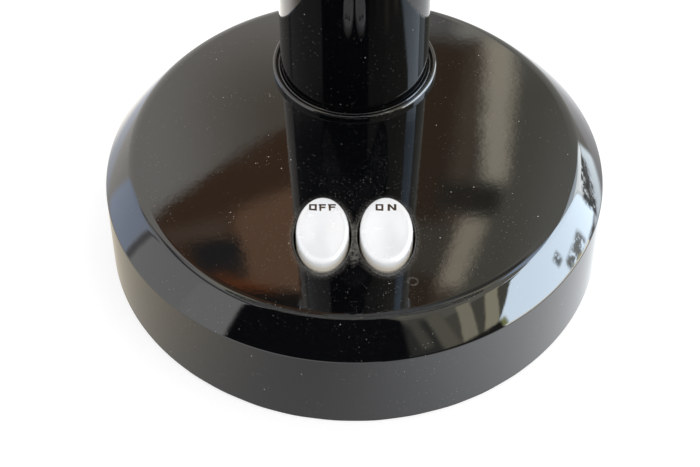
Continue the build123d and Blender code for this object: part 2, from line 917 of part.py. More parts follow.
def hood_bracket():
    """The bar on the hood's crest and the lug that the yoke holds."""
    half_length = saddle_bar_length / 2
    half_width = saddle_bar_width / 2
    top = hood_top + saddle_bar_height
    low = hood_top - crest_fall(half_width) - past
    bracket = block(-half_length, half_length, head_y - half_width, head_y + half_width, low, top)
    bracket = fillet(bracket.edges().filter_by(Axis.Z), half_width / 2)
    half_lug = lug_thickness / 2
    lug = bar(lug_radius, -half_lug, half_lug, head_y, tilt_z)
    lug += block(-half_lug, half_lug, head_y - lug_radius, head_y + lug_radius, top - past, tilt_z)
    bracket += lug
    bracket -= bar(tilt_pin_radius + running_fit, -half_lug - past, half_lug + past, head_y, tilt_z)
    bracket -= hood_screw_rods(hood_screw_radius, low, top + past)
    return bracket - hood_form(0, hood_z)


def pin_places():
    return [head_y - pin_pitch / 2, head_y + pin_pitch / 2]


def lampholder(side):
    """A holder for one end of the tube, cut to the curve of the reflector above it."""
    near = side * (tube_length / 2 + seat_gap)
    far = side * (tube_length / 2 + seat_gap + holder_thickness)
    half = holder_width / 2
    body = block(*sorted((near, far)), head_y - half, head_y + half, tube_z - holder_below, hood_top)
    lower = body.edges().filter_by(Axis.X).group_by(Axis.Z)[0]
    body = fillet(lower, holder_round)
    body &= hood_form(hood_wall + reflector_gap + reflector_wall, hood_z)
    reach = tube_length / 2 + pin_length + seat_gap
    for y in pin_places():
        body -= bar(pin_radius + running_fit, *sorted((near - side, side * reach)), y, tube_z)
    return body


def tube_glass():
    half = tube_length / 2 - cap_skin
    glass = bar(tube_radius, -half, half, head_y, tube_z)
    return glass - bar(tube_radius - glass_wall, glass_wall - half, half - glass_wall, head_y, tube_z)


def tube_caps():
    """The metal caps on the ends of the tube, each with two pins."""
    caps = []
    for side in (-1, 1):
        end = side * tube_length / 2
        inside = side * (tube_length / 2 - cap_length)
        cap = bar(tube_radius + cap_skin, *sorted((inside, end)), head_y, tube_z)
        hollow = side * (tube_length / 2 - cap_skin)
        cap -= bar(tube_radius, *sorted((inside - side, hollow)), head_y, tube_z)
        for y in pin_places():
            cap += bar(pin_radius, *sorted((hollow, end + side * pin_length)), y, tube_z)
        caps.append(cap)
    return solids(*caps)


def build():
    shell = base_shell()
    lower_top = lower_knuckle_z + knuckle_height
    upper_top = upper_knuckle_z + knuckle_height
    head_nut_z = upper_top + running_gap + washer_thickness
    return {
        "felt_pad": felt_pad(),
        "bottom_plate": bottom_plate(),
        "base_shell": shell,
        "base_weight": base_weight(),
        "base_pillars": base_pillars(),
        "base_screws": base_screws(),
        "choke_core": choke_core(),
        "choke_winding": choke_winding(),
        "choke_strap": choke_strap(),
        "choke_screws": choke_screws(),
        "terminal_block": terminal_block(),
        "terminal_screws": terminal_screws(),
        "cord_grommet": cord_grommet(shell),
        "switch_housing": switch_housing(),
        "switch_posts": switch_posts(),
        "switch_screws": switch_screws(),
        "contact_board": contact_board(),
        "contact_leaves": contact_leaves(),
        "off_button": button_cap(-1),
        "off_clip": button_clip(-1),
        "off_spring": button_spring(-1),
        "on_button": button_cap(1),
        "on_clip": button_clip(1),
        "on_spring": button_spring(1),
        "column_tube": column_tube(),
        "foot_ring": foot_ring(),
        "column_saddle": column_saddle(),
        "tie_pipe": tie_pipe(),
        "tie_nut": tie_nut(),
        "trim_ring": trim_ring(),
        "column_cap": column_cap(),
        "swivel_bush": swivel_bush(),
        "thrust_washer": thrust_washer(),
        "swing_tube": swing_tube(),
        "post_collar": post_collar(),
        "collar_screw": collar_screw(),
        "lower_knuckle": knuckle(elbow_x, elbow_y, lower_knuckle_z, pivot_radius),
        "elbow_bolt": elbow_bolt(),
        "elbow_washer": pivot_washer(elbow_x, elbow_y, lower_knuckle_z - washer_thickness),
        "elbow_top_washer": pivot_washer(elbow_x, elbow_y, lower_top),
        "elbow_nut": cap_nut(elbow_x, elbow_y, lower_top + washer_thickness),
        "upper_knuckle": knuckle(elbow_x, elbow_y, upper_knuckle_z, pivot_radius + running_fit),
        "upper_tube": upper_tube(),
        "head_knuckle": knuckle(0, head_y, upper_knuckle_z, pivot_radius + running_fit),
        "head_spindle": head_spindle(),
        "head_washer": pivot_washer(0, head_y, yoke_top),
        "head_top_washer": pivot_washer(0, head_y, upper_top + running_gap),
        "head_nut": cap_nut(0, head_y, head_nut_z),
        "yoke": yoke(),
        "tilt_knob": tilt_knob(),
        "hood_shell": hood_shell(),
        "hood_bracket": hood_bracket(),
        "hood_screws": hood_screws(),
        "hood_spacers": hood_spacers(),
        "reflector": reflector(),
        "left_lampholder": lampholder(-1),
        "right_lampholder": lampholder(1),
        "tube_glass": tube_glass(),
        "tube_caps": tube_caps(),
    }


os.makedirs("parts", exist_ok=True)
for node, shape in build().items():
    export_step(shape, f"parts/{node}.step")
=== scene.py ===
import json
import math

import bmesh
import bpy
from mathutils import Matrix, Vector


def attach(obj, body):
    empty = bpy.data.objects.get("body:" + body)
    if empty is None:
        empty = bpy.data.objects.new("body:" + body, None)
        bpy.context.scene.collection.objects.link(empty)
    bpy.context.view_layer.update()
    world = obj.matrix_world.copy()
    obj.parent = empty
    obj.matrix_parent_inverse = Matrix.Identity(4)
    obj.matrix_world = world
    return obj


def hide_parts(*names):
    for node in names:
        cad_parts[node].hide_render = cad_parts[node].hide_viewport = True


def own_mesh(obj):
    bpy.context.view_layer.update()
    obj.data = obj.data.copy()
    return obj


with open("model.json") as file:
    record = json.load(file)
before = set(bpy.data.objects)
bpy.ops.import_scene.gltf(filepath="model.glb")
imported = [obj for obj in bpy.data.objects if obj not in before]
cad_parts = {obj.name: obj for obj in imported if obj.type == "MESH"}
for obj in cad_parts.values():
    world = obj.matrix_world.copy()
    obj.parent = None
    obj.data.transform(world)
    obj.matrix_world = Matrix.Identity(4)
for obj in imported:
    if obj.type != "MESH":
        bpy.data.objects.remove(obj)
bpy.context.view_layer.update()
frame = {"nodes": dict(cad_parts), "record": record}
nodes = frame["nodes"]
mm = 0.001
print("lamp: frame loaded,", len(nodes), "nodes")


# the photograph's camera, found from the ellipses of the base
cameraShape = {"place": (0, -0.53165, 0.58278), "aim": (-0.00184, -0.00225, 0), "lens": 96.98, "roll": -0.1406}


def placeCamera(shape):
    made = bpy.data.cameras.new("photoCamera")
    made.sensor_width = 36
    made.lens = shape["lens"]
    camera = bpy.data.objects.new("photoCamera", made)
    bpy.context.scene.collection.objects.link(camera)
    place = Vector(shape["place"])
    facing = (Vector(shape["aim"]) - place).to_track_quat("-Z", "Y").to_matrix().to_4x4()
    roll = Matrix.Rotation(math.radians(shape["roll"]), 4, "Z")
    camera.matrix_world = Matrix.Translation(place) @ facing @ roll
    bpy.context.scene.camera = camera


placeCamera(cameraShape)


class Value:
    # a node's output that takes part in sums, products and soft steps
    def __init__(self, finish, socket):
        self.finish = finish
        self.socket = socket

    def combine(self, operation, first, second=0.0):
        return self.finish.node("ShaderNodeMath", {"operation": operation}, {0: first, 1: second})

    def __add__(self, other):
        return self.combine("ADD", self, other)

    def __radd__(self, other):
        return self.combine("ADD", other, self)

    def __sub__(self, other):
        return self.combine("SUBTRACT", self, other)

    def __rsub__(self, other):
        return self.combine("SUBTRACT", other, self)

    def __mul__(self, other):
        return self.combine("MULTIPLY", self, other)

    def __rmul__(self, other):
        return self.combine("MULTIPLY", other, self)

    def __truediv__(self, other):
        return self.combine("DIVIDE", self, other)

    def __rtruediv__(self, other):
        return self.combine("DIVIDE", other, self)

    def power(self, exponent):
        return self.combine("POWER", self, exponent)

    def larger(self, other):
        return self.combine("MAXIMUM", self, other)

    def smooth(self, low, high):
        # 0 below low and 1 above high, with a soft slope between them
        return self.finish.node(
            "ShaderNodeMapRange",
            {"interpolation_type": "SMOOTHSTEP"},
            {"Value": self, "From Min": low, "From Max": high, "To Min": 0.0, "To Max": 1.0},
        )


class Finish:
    # a material or the world, and its nodes
    def __init__(self, owner):
        owner.use_nodes = True
        self.owner = owner
        self.tree = owner.node_tree
        self.tree.nodes.clear()

    def node(self, kind, settings=None, inputs=None, output=0):
        made = self.tree.nodes.new(kind)
        for name, value in (settings or {}).items():
            setattr(made, name, value)
        for name, value in (inputs or {}).items():
            socket = made.inputs[name]
            if isinstance(value, Value):
                self.tree.links.new(value.socket, socket)
            elif isinstance(value, tuple) and socket.type == "RGBA":
                socket.default_value = (*value, 1.0)
            else:
                socket.default_value = value
        return Value(self, made.outputs[output]) if made.outputs else None

    def place(self):
        return self.node("ShaderNodeTexCoord", output="Object")

    def parts(self, vector):
        return [self.node("ShaderNodeSeparateXYZ", inputs={0: vector}, output=axis) for axis in "XYZ"]

    def noise(self, scale, detail=3.0, roughness=0.5, where=None):
        spot = where or self.place()
        sizes = {"Vector": spot, "Scale": scale, "Detail": detail, "Roughness": roughness}
        return self.node("ShaderNodeTexNoise", inputs=sizes)

    def patches(self, scale, low, high, detail=3.0, roughness=0.5):
        # noise with soft edges between bare places, 0, and patches, 1
        return self.noise(scale, detail, roughness).smooth(low, high)

    def wave(self, axis, scale, waver=0.0):
        # output 1 of the wave texture is its height
        sizes = {"Vector": self.place(), "Scale": scale, "Distortion": waver}
        return self.node("ShaderNodeTexWave", {"bands_direction": axis}, sizes, 1)

    def mix(self, factor, first, second):
        # sockets 6 and 7 of Mix are its two colours, and output 2 is the colour
        return self.node("ShaderNodeMix", {"data_type": "RGBA"}, {0: factor, 6: first, 7: second}, 2)

    def bump(self, height, distance, normal=None):
        inputs = {"Height": height, "Distance": distance, "Strength": 1.0}
        if normal:
            inputs["Normal"] = normal
        return self.node("ShaderNodeBump", inputs=inputs)

    def ray(self, kind):
        return self.node("ShaderNodeLightPath", output=kind)

    def surface(self, inputs):
        shader = self.node("ShaderNodeBsdfPrincipled", inputs=inputs)
        self.node("ShaderNodeOutputMaterial", inputs={"Surface": shader})


def newFinish(name):
    return Finish(bpy.data.materials.new(name))


# the finishes by material slot; the column's own enamel goes by its node's name
finishes = {}


# gloss black stove enamel with a faint orange peel, dust in small pale specks and a few dull smudges
# places and sizes are in metres
# patches are a noise's scale, the two ends of its soft edge, and its detail and roughness where they differ
enamelLook = {
    "colour": (0.0018, 0.002, 0.0025),
    "dust": (0.5, 0.47, 0.43),
    "gloss": 1.8,
    "columnGloss": 1.45,
    "roughness": 0.035,
    "smudge": 0.03,
    "smudgePatches": (24.0, 0.5, 0.75, 4.0),
    "dustRoughness": 0.5,
    "peel": (520.0, 2.0),
    "peelDepth": 0.0000045,
    "wave": (90.0, 1.0),
    "waveDepth": 0.000010,
}
# specks are a cell scale, their size in a cell and the share of cells that have one
dustLook = {
    "specks": (210.0, 0.06, 0.3),
    "grain": (1250.0, 0.2, 0.5),
    "grainPatches": (160.0, 0.36, 0.6),
    "grainStrength": 0.45,
    "grainMiddle": (0.0, -0.052),
    "grainHalf": (0.034, 0.034),
    "grainFade": (0.7, 1.5),
    "fine": (1100.0, 0.2, 0.22),
    "finePatches": (60.0, 0.42, 0.65),
    "fineStrength": 0.55,
}
# a faint ring that a drop has left, right of the buttons
ringLook = {
    "middle": (0.0218, -0.0716),
    "inside": (0.0011, 0.0016),
    "outside": (0.0019, 0.0025),
    "patches": (700.0, 0.3, 0.6),
    "strength": 0.1,
}
# lint that gathers between the buttons and along their rims
lintLook = {
    "gapMiddle": (0.0, -0.053),
    "gapHalf": (0.0026, 0.0095),
    "gapFade": (0.3, 1.7),
    "gapStrength": 0.3,
    "rimMiddle": (0.01215, -0.0498),
    "rimHalf": (0.0118, 0.0188),
    "rimFade": (1.0, 1.35),
    "rimStrength": 0.1,
    "patches": (900.0, 0.3, 0.62, 4.0, 0.7),
}


def ovalReach(x, y, middle, half):
    # squared distance from the middle of an oval, 1 on its edge
    across = (x - middle[0]) / half[0]
    along = (y - middle[1]) / half[1]
    return across * across + along * along


def specks(finish, scale, size, share):
    # sparse round specks: the middle of some Voronoi cells
    cells = {"Vector": finish.place(), "Scale": scale}
    near = finish.node("ShaderNodeTexVoronoi", inputs=cells, output="Distance")
    tint = finish.node("ShaderNodeTexVoronoi", inputs=cells, output="Color")
    chance = finish.parts(tint)[0]
    return (1 - near.smooth(size * 0.5, size)) * chance.smooth(1 - share, 1 - share + 0.02)


def dustMarks(finish, x, y):
    look = dustLook
    reach = ovalReach(x, y, look["grainMiddle"], look["grainHalf"]).power(0.5)
    nearButtons = 1 - reach.smooth(*look["grainFade"])
    grain = specks(finish, *look["grain"]) * nearButtons * finish.patches(*look["grainPatches"])
    fine = specks(finish, *look["fine"]) * finish.patches(*look["finePatches"])
    dust = specks(finish, *look["specks"]).larger(grain * look["grainStrength"])
    return dust.larger(fine * look["fineStrength"])


def ringMark(finish, x, y):
    look = ringLook
    reach = ovalReach(x, y, look["middle"], (1, 1)).power(0.5)
    ring = reach.smooth(*look["inside"]) * (1 - reach.smooth(*look["outside"]))
    return ring * finish.patches(*look["patches"]) * look["strength"]


def lintMarks(finish, x, y):
    look = lintLook
    gap = ovalReach(x, y, look["gapMiddle"], look["gapHalf"])
    lint = (1 - gap.smooth(*look["gapFade"])) * look["gapStrength"]
    for side in (-1, 1):
        middle = (side * look["rimMiddle"][0], look["rimMiddle"][1])
        rim = 1 - ovalReach(x, y, middle, look["rimHalf"]).smooth(*look["rimFade"])
        lint = lint.larger(rim * look["rimStrength"])
    return lint * finish.patches(*look["patches"])


def blackEnamel(name, part, gloss):
    look = enamelLook
    finish = newFinish(name)
    x, y = finish.parts(finish.place())[:2]
    marks = dustMarks(finish, x, y).larger(ringMark(finish, x, y)).larger(lintMarks(finish, x, y))
    smudge = finish.patches(*look["smudgePatches"])
    colour = finish.mix(marks, look["colour"], look["dust"])
    roughness = look["roughness"] + smudge * look["smudge"] + marks * look["dustRoughness"]
    wave = finish.bump(finish.noise(*look["wave"]), look["waveDepth"])
    peel = finish.bump(finish.noise(*look["peel"]), look["peelDepth"], wave)
    finish.surface({"Base Color": colour, "Roughness": roughness, "Normal": peel, "IOR": gloss})
    finishes[part] = finish


# gloss white moulding, creamy and darker below the rim, where painted shade falls on the skirt
buttonLook = {
    "top": (0.92, 0.93, 0.95),
    "stain": (0.86, 0.86, 0.84),
    "stainShare": 0.25,
    "stainPatches": (130.0, 0.35, 0.8, 4.0),
    # painted shade: the skirt's darker, creamier colour, and the heights over which it gives way to the top
    "skirt": (0.80, 0.74, 0.64),
    "skirtEnd": (0.0508, 0.0528),
    "roughness": 0.22,
    "rubbed": 0.08,
    "rubbedPatches": (300.0, 0.4, 0.8),
    "gloss": 1.8,
    "grain": 420.0,
    "grainDepth": 0.000004,
}


def whitePlastic():
    look = buttonLook
    finish = newFinish("whitePlastic")
    # painted shade: below the rim the skirt takes the darker, creamier colour
    unshaded = finish.parts(finish.place())[2].smooth(*look["skirtEnd"])
    top = finish.mix(finish.patches(*look["stainPatches"]) * look["stainShare"], look["top"], look["stain"])
    colour = finish.mix(unshaded, look["skirt"], top)
    roughness = look["roughness"] + finish.patches(*look["rubbedPatches"]) * look["rubbed"]
    normal = finish.bump(finish.noise(look["grain"]), look["grainDepth"])
    finish.surface({"Base Color": colour, "Roughness": roughness, "Normal": normal, "IOR": look["gloss"]})
    finishes["white_button"] = finish


# the dark paint rubbed into the engraved letters
letterLook = {
    "full": (0.06, 0.04, 0.025),
    "worn": (0.17, 0.1, 0.055),
    "patches": (2600.0, 0.35, 0.75),
    "roughness": 0.5,
}


def letterPaint():
    look = letterLook
    finish = newFinish("letterPaint")
    colour = finish.mix(finish.patches(*look["patches"]), look["full"], look["worn"])
    finish.surface({"Base Color": colour, "Roughness": look["roughness"]})
    finishes["letter_paint"] = finish


# metals and mouldings: base colour, second colour that shows in patches, roughness and its spread,
# scale of the patches, scale of the grain and its depth
plainPatches = (0.38, 0.75, 5.0, 0.6)
plainLooks = {
    "chrome": {
        "colour": (0.46, 0.47, 0.49), "patch": (0.39, 0.4, 0.42), "metallic": 1.0,
        "rough": 0.06, "spread": 0.08, "scale": 38.0, "grain": 900.0, "depth": 0.0000006,
    },
    "zinc_steel": {
        "colour": (0.38, 0.38, 0.37), "patch": (0.29, 0.29, 0.28), "metallic": 1.0,
        "rough": 0.3, "spread": 0.16, "scale": 90.0, "grain": 700.0, "depth": 0.000004,
    },
    "brass": {
        "colour": (0.55, 0.4, 0.18), "patch": (0.4, 0.28, 0.12), "metallic": 1.0,
        "rough": 0.2, "spread": 0.15, "scale": 110.0, "grain": 900.0, "depth": 0.000003,
    },
    "aluminium": {
        "colour": (0.74, 0.74, 0.74), "patch": (0.62, 0.62, 0.62), "metallic": 1.0,
        "rough": 0.32, "spread": 0.1, "scale": 140.0, "grain": 1400.0, "depth": 0.000003,
    },
    "fibre": {
        "colour": (0.3, 0.1, 0.06), "patch": (0.2, 0.07, 0.045), "metallic": 0.0,
        "rough": 0.6, "spread": 0.2, "scale": 260.0, "grain": 1500.0, "depth": 0.00001,
    },
    "black_plastic": {
        "colour": (0.018, 0.018, 0.019), "patch": (0.03, 0.03, 0.03), "metallic": 0.0,
        "rough": 0.34, "spread": 0.12, "scale": 80.0, "grain": 1200.0, "depth": 0.000004,
    },
    "rubber": {
        "colour": (0.02, 0.02, 0.02), "patch": (0.045, 0.043, 0.04), "metallic": 0.0,
        "rough": 0.7, "spread": 0.15, "scale": 150.0, "grain": 900.0, "depth": 0.00001,
    },
    "iron": {
        "colour": (0.085, 0.08, 0.075), "patch": (0.15, 0.09, 0.055), "metallic": 0.6,
        "rough": 0.65, "spread": 0.2, "scale": 70.0, "grain": 420.0, "depth": 0.00009,
    },
    "holder_plastic": {
        "colour": (0.74, 0.72, 0.66), "patch": (0.66, 0.63, 0.55), "metallic": 0.0,
        "rough": 0.3, "spread": 0.12, "scale": 55.0, "grain": 700.0, "depth": 0.000004,
    },
    "white_enamel": {
        "colour": (0.83, 0.83, 0.8), "patch": (0.76, 0.75, 0.7), "metallic": 0.0,
        "rough": 0.22, "spread": 0.14, "scale": 22.0, "grain": 380.0, "depth": 0.000008,
    },
}


def plainFinish(name, look):
    finish = newFinish(name)
    patch = finish.patches(look["scale"], *plainPatches)
    colour = finish.mix(patch, look["colour"], look["patch"])
    roughness = look["rough"] + patch * look["spread"]
    normal = finish.bump(finish.noise(look["grain"]), look["depth"])
    finish.surface(
        {"Base Color": colour, "Metallic": look["metallic"], "Roughness": roughness, "Normal": normal}
    )
    finishes[name] = finish


feltLook = {
    "dark": (0.012, 0.011, 0.010),
    "light": (0.055, 0.05, 0.045),
    "fade": (0.3, 0.75),
    "tufts": (2200.0, 6.0, 0.7),
    "roughness": 0.95,
    "depth": 0.0003,
}


def felt():
    look = feltLook
    finish = newFinish("felt")
    tuft = finish.noise(*look["tufts"])
    colour = finish.mix(tuft.smooth(*look["fade"]), look["dark"], look["light"])
    normal = finish.bump(tuft, look["depth"])
    finish.surface({"Base Color": colour, "Roughness": look["roughness"], "Normal": normal})
    finishes["felt"] = finish


# the choke's core: thin sheets of steel, one on the other
coreLook = {
    "gap": (0.03, 0.026, 0.024),
    "steel": (0.16, 0.155, 0.15),
    "sheets": 320.0,
    "waver": 0.4,
    "fade": (0.15, 0.4),
    "metallic": 0.8,
    "roughness": 0.42,
    "rubbed": 0.2,
    "rubbedPatches": (90.0, 0.3, 0.7),
    "depth": 0.00006,
}


def laminatedSteel():
    look = coreLook
    finish = newFinish("laminatedSteel")
    sheet = finish.wave("Z", look["sheets"], look["waver"]).smooth(*look["fade"])
    colour = finish.mix(sheet, look["gap"], look["steel"])
    roughness = look["roughness"] + finish.patches(*look["rubbedPatches"]) * look["rubbed"]
    normal = finish.bump(sheet, look["depth"])
    finish.surface(
        {"Base Color": colour, "Metallic": look["metallic"], "Roughness": roughness, "Normal": normal}
    )
    finishes["core_steel"] = finish


# the woven tape round the choke's winding
wrapLook = {
    "gap": (0.20, 0.12, 0.04),
    "thread": (0.52, 0.38, 0.17),
    "threads": 420.0,
    "roughness": 0.55,
    "depth": 0.00008,
}


def coilWrap():
    look = wrapLook
    finish = newFinish("coilWrap")
    thread = finish.wave("X", look["threads"]) * 0.5 + finish.wave("Y", look["threads"]) * 0.5
    colour = finish.mix(thread, look["gap"], look["thread"])
    normal = finish.bump(thread, look["depth"])
    finish.surface({"Base Color": colour, "Roughness": look["roughness"], "Normal": normal})
    finishes["coil_wrap"] = finish


# a tube coated white inside, greyer towards its ends
tubeLook = {
    "coating": (0.86, 0.87, 0.86),
    "ends": (0.34, 0.33, 0.32),
    "endStart": 0.143,
    "endFull": 0.156,
    "endShare": 0.75,
    "dustPatches": (60.0, 0.4, 0.8, 4.0),
    "dust": 0.25,
    "dustShare": 0.4,
    "roughness": 0.12,
    "dustRoughness": 0.3,
    "coat": 0.6,
    "coatRoughness": 0.03,
}


def phosphorGlass():
    look = tubeLook
    finish = newFinish("phosphorGlass")
    x = finish.parts(finish.place())[0]
    ends = (x * x).smooth(look["endStart"] ** 2, look["endFull"] ** 2)
    dust = finish.patches(*look["dustPatches"]) * look["dust"]
    colour = finish.mix(ends * look["endShare"] + dust * look["dustShare"], look["coating"], look["ends"])
    roughness = look["roughness"] + dust * look["dustRoughness"]
    coat = {"Coat Weight": look["coat"], "Coat Roughness": look["coatRoughness"]}
    finish.surface({"Base Color": colour, "Roughness": roughness, **coat})
    finishes["phosphor_glass"] = finish


blackEnamel("blackEnamel", "black_enamel", enamelLook["gloss"])
blackEnamel("columnEnamel", "column_tube", enamelLook["columnGloss"])
whitePlastic()
letterPaint()
felt()
laminatedSteel()
coilWrap()
phosphorGlass()
for plainName, plainLook in plainLooks.items():
    plainFinish(plainName, plainLook)
print("lamp: finishes made,", len(finishes))


def roundedPath(corners, steps, support=0.25):
    # rounds the corners (r, z, radius) of a path, with a support point just outside each round
    path = []
    for index, (r, z, radius) in enumerate(corners):
        here = Vector((r, z))
        if radius == 0 or index in (0, len(corners) - 1):
            path.append(here)
            continue
        before = (Vector(corners[index - 1][:2]) - here).normalized()
        after = (Vector(corners[index + 1][:2]) - here).normalized()
        half = before.angle(after) / 2
        reach = radius / math.tan(half)
        centre = here + (before + after).normalized() * (radius / math.sin(half))
        first = here + before * reach - centre
        last = here + after * reach - centre
        turn = math.pi - 2 * half
        path.append(here + before * (reach + support))
        for step in range(steps + 1):
            share = step / steps
            spoke = (math.sin((1 - share) * turn) * first + math.sin(share * turn) * last) / math.sin(turn)
            path.append(centre + spoke)
        path.append(here + after * (reach + support))
    return path


def turned(path, steps):
    # spins a chain of edges in the X-Z plane right round the Z axis
    bm = bmesh.new()
    points = [bm.verts.new((r * mm, 0, z * mm)) for r, z in path]
    chain = [bm.edges.new(pair) for pair in zip(points, points[1:])]
    bmesh.ops.spin(
        bm,
        geom=points + chain,
        cent=(0, 0, 0),
        axis=(0, 0, 1),
        angle=math.radians(360),
        steps=steps,
        use_merge=True,
    )
    bmesh.ops.remove_doubles(bm, verts=bm.verts, dist=0.001 * mm)
    return bm


def cleaned(bm, sharp):
    # one surface, faces outwards, smooth except at real edges
    bmesh.ops.remove_doubles(bm, verts=bm.verts, dist=0.003 * mm)
    bmesh.ops.recalc_face_normals(bm, faces=bm.faces)
    for face in bm.faces:
        face.smooth = True
    for edge in bm.edges:
        edge.smooth = edge.calc_face_angle(math.pi) < math.radians(sharp)


def makePiece(name, bm, body, slotName, replaced, sharp, extra=()):
    # "sharp" is the angle in degrees from which an edge stays hard, "extra" names more finishes
    cleaned(bm, sharp)
    mesh = bpy.data.meshes.new(name)
    bm.to_mesh(mesh)
    bm.free()
    for finishName in (slotName, *extra):
        mesh.materials.append(finishes[finishName].owner)
    piece = bpy.data.objects.new(name, mesh)
    bpy.context.scene.collection.objects.link(piece)
    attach(piece, body)
    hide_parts(replaced)
    return piece


def settle(piece):
    # applies the modifiers
    bpy.context.view_layer.update()
    evaluated = piece.evaluated_get(bpy.context.evaluated_depsgraph_get())
    mesh = bpy.data.meshes.new_from_object(evaluated)
    piece.modifiers.clear()
    piece.data = mesh


def cutAway(piece, bm, name):
    # takes the shape in bm out of a piece; the cut faces get the piece's last material
    bmesh.ops.recalc_face_normals(bm, faces=bm.faces)
    for face in bm.faces:
        face.material_index = len(piece.data.materials) - 1
    mesh = bpy.data.meshes.new(name)
    bm.to_mesh(mesh)
    bm.free()
    cutter = bpy.data.objects.new(name, mesh)
    bpy.context.scene.collection.objects.link(cutter)
    cut = piece.modifiers.new("cut", "BOOLEAN")
    cut.operation = "DIFFERENCE"
    cut.solver = "EXACT"
    cut.use_self = True
    cut.object = cutter
    settle(piece)
    bpy.data.objects.remove(cutter)


def surroundings(faces):
    # faces with their edges and corners, as bisect_plane takes them
    return list({part for face in faces for part in (*face.verts, *face.edges)}) + faces


def bisect(bm, faces, place, normal):
    spot = Vector(place) * mm
    bmesh.ops.bisect_plane(bm, geom=surroundings(faces), dist=0.0001 * mm, plane_co=spot, plane_no=normal)


# the base, in millimetres: wall, crowned chamfer, soft edge and slightly domed plate
# outside "fillEdge" the shell is turned, inside it is filled round the holes
baseShape = {
    "radius": 100.0,
    "wallHeight": 36.5,
    "plateRadius": 88.8,
    "plateHeight": 49.0,
    "rise": 2.5,
    "crown": 0.33,
    "crownSteps": 20,
    "shoulderRound": 1.6,
    "plateRound": 6.0,
    "roundSteps": 10,
    "foot": 1.5,
    "steel": 1.0,
    "turns": 256,
    "lipEdge": 84.0,
    "lipStep": 82.0,
    "fillEdge": 80.0,
    "grid": 4.0,
    "inletHeight": 11.5,
    "inletHalf": 5.0,
    "inletRear": 90.0,
    "sharp": 40,
}
# the two oval holes and the soft roll of their rims; their loops start at the dome's height at "loopReach"
holeShape = {
    "halfWidth": 11.0,
    "halfLength": 17.8,
    "roll": 0.75,
    "rollStep": 13,
    "rollSteps": 7,
    "flat": 0.25,
    "drop": 3.0,
    "points": 96,
    "slack": 0.05,
    "pitch": 24.3,
    "row": -49.6,
    "loopReach": 50.0,
}


def domeHeight(reach):
    shape = baseShape
    sphere = (shape["plateRadius"] ** 2 + shape["rise"] ** 2) / (2 * shape["rise"])
    return shape["plateHeight"] + shape["rise"] - sphere + math.sqrt(sphere**2 - reach**2)


def onDome(vert):
    vert.co.z = domeHeight(vert.co.xy.length / mm) * mm


def chamferPath():
    # the points between shoulder and plate, on a slightly crowned line, clear of the rounds at its ends
    shape = baseShape
    low = Vector((shape["radius"], shape["wallHeight"]))
    high = Vector((shape["plateRadius"], shape["plateHeight"]))
    outward = Vector(((high - low).y, (low - high).x)).normalized()
    points = []
    for step in range(2, shape["crownSteps"] - 3):
        share = step / shape["crownSteps"]
        spot = low.lerp(high, share) + outward * shape["crown"] * 4 * share * (1 - share)
        points.append((spot.x, spot.y, 0))
    return points


def basePath():
    shape = baseShape
    corners = [
        (shape["radius"], shape["foot"], 0),
        (shape["radius"], shape["wallHeight"], shape["shoulderRound"]),
        *chamferPath(),
        (shape["plateRadius"], shape["plateHeight"], shape["plateRound"]),
        (shape["lipEdge"], domeHeight(shape["lipEdge"]), 0),
    ]
    inner = [Vector((r, domeHeight(r))) for r in (shape["lipStep"], shape["fillEdge"])]
    return roundedPath(corners, shape["roundSteps"]) + inner


def holeLoop(bm, centre):
    # the outer edge of a rolled rim, an oval on the plate
    shape = holeShape
    loop = bmesh.ops.create_circle(bm, segments=shape["points"], radius=mm)["verts"]
    rim = shape["roll"] + shape["flat"]
    bmesh.ops.scale(bm, vec=(shape["halfWidth"] + rim, shape["halfLength"] + rim, 1), verts=loop)
    bmesh.ops.translate(bm, vec=centre + Vector((0, 0, domeHeight(shape["loopReach"]) * mm)), verts=loop)
    return list({edge for vert in loop for edge in vert.link_edges})


def fillPlate(bm, centres):
    # fills the plate round the two holes, and cuts it into a grid that follows the dome
    shape = baseShape
    inside = (shape["fillEdge"] + 0.01) * mm
    edges = [e for e in bm.edges if all(v.co.xy.length < inside for v in e.verts)]
    for centre in centres:
        edges += holeLoop(bm, centre)
    bmesh.ops.triangle_fill(bm, use_beauty=True, edges=edges)
    step = -shape["fillEdge"] + shape["grid"]
    while step < shape["fillEdge"]:
        for normal in (Vector((1, 0, 0)), Vector((0, 1, 0))):
            faces = [f for f in bm.faces if f.calc_center_median().xy.length < shape["fillEdge"] * mm]
            bisect(bm, faces, normal * step, normal)
        step += shape["grid"]
    for vert in bm.verts:
        if vert.co.xy.length < (shape["fillEdge"] - 0.05) * mm:
            onDome(vert)


def rimEdges(bm, centre):
    # the open edges round one hole
    shape = holeShape
    nearby = (shape["halfLength"] + 2.0) * mm
    reach = (shape["halfWidth"] + shape["roll"] + shape["flat"] + shape["slack"]) * mm
    edges = []
    for edge in bm.edges:
        spots = [v.co.xy - centre.xy for v in edge.verts]
        if edge.is_boundary and all(abs(s.x) < reach and abs(s.y) < nearby for s in spots):
            edges.append(edge)
    return edges


